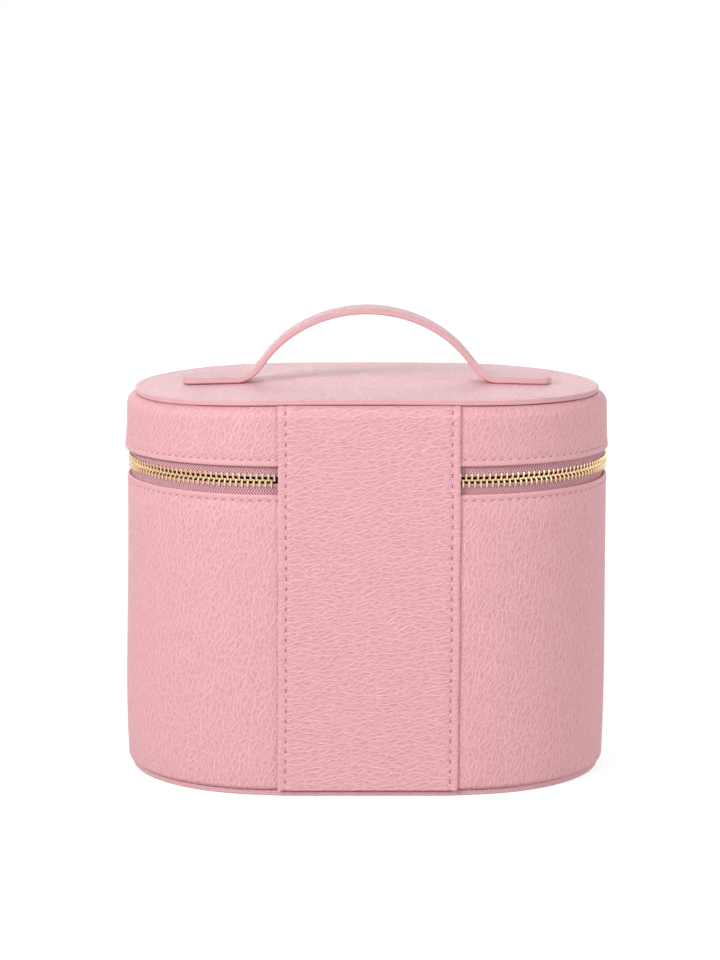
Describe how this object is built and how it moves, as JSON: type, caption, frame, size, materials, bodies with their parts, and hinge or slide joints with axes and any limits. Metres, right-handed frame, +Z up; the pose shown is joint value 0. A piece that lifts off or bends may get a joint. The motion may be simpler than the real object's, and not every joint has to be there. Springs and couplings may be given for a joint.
{
  "type": "vanity case",
  "caption": "Stadium-shaped leather vanity case with a flat lid, a strap handle on top, a full-height leather hinge panel at the back and a metal zip round the rim.",
  "frame": {"origin": "centre of the resting face, on the surface that the case stands on", "axes": "+X along the case's width, which is the long way of its oval, +Y from the hinge panel towards the zip's opening side, +Z up"},
  "size_m": [0.22, 0.1468, 0.2121],
  "materials": {
    "grained_leather": "pink pebbled leather with a raised, slightly paler grain",
    "smooth_leather": "pale greyish-pink leather with a fine, flat grain",
    "zip_tape": "dusty mauve herringbone tape",
    "webbing": "flat woven webbing",
    "zip_metal": "polished pale gold",
    "board": "dense grey board",
    "foam": "thin sheet foam",
    "lining": "soft brushed cloth"
  },
  "bodies": {
    "case_body": {"base_leather": "smooth_leather", "base_board": "board", "base_inner_board": "board", "floor_pad": "lining", "body_leather": "grained_leather", "body_foam": "foam", "body_board": "board", "body_lining": "lining", "zip_tape_lower": "zip_tape", "zip_teeth_lower": "zip_metal", "zip_stops_lower": "zip_metal", "hinge_panel_lower": "grained_leather", "hinge_panel_flex": "grained_leather", "hinge_webbing": "webbing"},
    "lid": {"lid_disc_leather": "smooth_leather", "lid_disc_board": "board", "lid_inner_board": "board", "lid_roof_lining": "lining", "lid_leather": "grained_leather", "lid_foam": "foam", "lid_board": "board", "lid_wall_lining": "lining", "zip_tape_upper": "zip_tape", "zip_teeth_upper": "zip_metal", "zip_stops_upper": "zip_metal", "hinge_panel_upper": "grained_leather", "handle_leather": "smooth_leather", "handle_core": "webbing", "handle_underside": "smooth_leather", "handle_patches": "board"},
    "slider_left": {"slider_left": "zip_metal"},
    "slider_ring_left": {"slider_ring_left": "zip_metal"},
    "slider_pull_left": {"slider_pull_left": "zip_metal"},
    "slider_right": {"slider_right": "zip_metal"},
    "slider_ring_right": {"slider_ring_right": "zip_metal"},
    "slider_pull_right": {"slider_pull_right": "zip_metal"}
  },
  "joints": [
    {"name": "lid_hinge", "type": "hinge", "parent": "case_body", "child": "lid", "pos_m": [0, -0.07075, 0.1426], "axis": [1, 0, 0], "range_deg": [0, 110], "deforming": ["hinge_panel_flex", "hinge_webbing"]},
    {"name": "slider_slide_left", "type": "slide", "parent": "case_body", "child": "slider_left", "axis": [-1, 0, 0], "range_m": [0, 0.027], "deforming": ["zip_teeth_lower", "zip_teeth_upper"]},
    {"name": "slider_slide_right", "type": "slide", "parent": "case_body", "child": "slider_right", "axis": [1, 0, 0], "range_m": [0, 0.027], "deforming": ["zip_teeth_lower", "zip_teeth_upper"]},
    {"name": "slider_ring_swing_left", "type": "hinge", "parent": "slider_left", "child": "slider_ring_left", "pos_m": [-0.0063, 0.07325, 0.1426], "axis": [1, 0, 0], "range_deg": [-4, 150]},
    {"name": "slider_ring_swing_right", "type": "hinge", "parent": "slider_right", "child": "slider_ring_right", "pos_m": [0.0063, 0.07325, 0.1426], "axis": [1, 0, 0], "range_deg": [-4, 150]},
    {"name": "slider_pull_swing_left", "type": "hinge", "parent": "slider_ring_left", "child": "slider_pull_left", "pos_m": [-0.0063, 0.07325, 0.13605], "axis": [0, 1, 0], "range_deg": [-8, 75]},
    {"name": "slider_pull_swing_right", "type": "hinge", "parent": "slider_ring_right", "child": "slider_pull_right", "pos_m": [0.0063, 0.07325, 0.13605], "axis": [0, -1, 0], "range_deg": [-8, 75]}
  ]
}
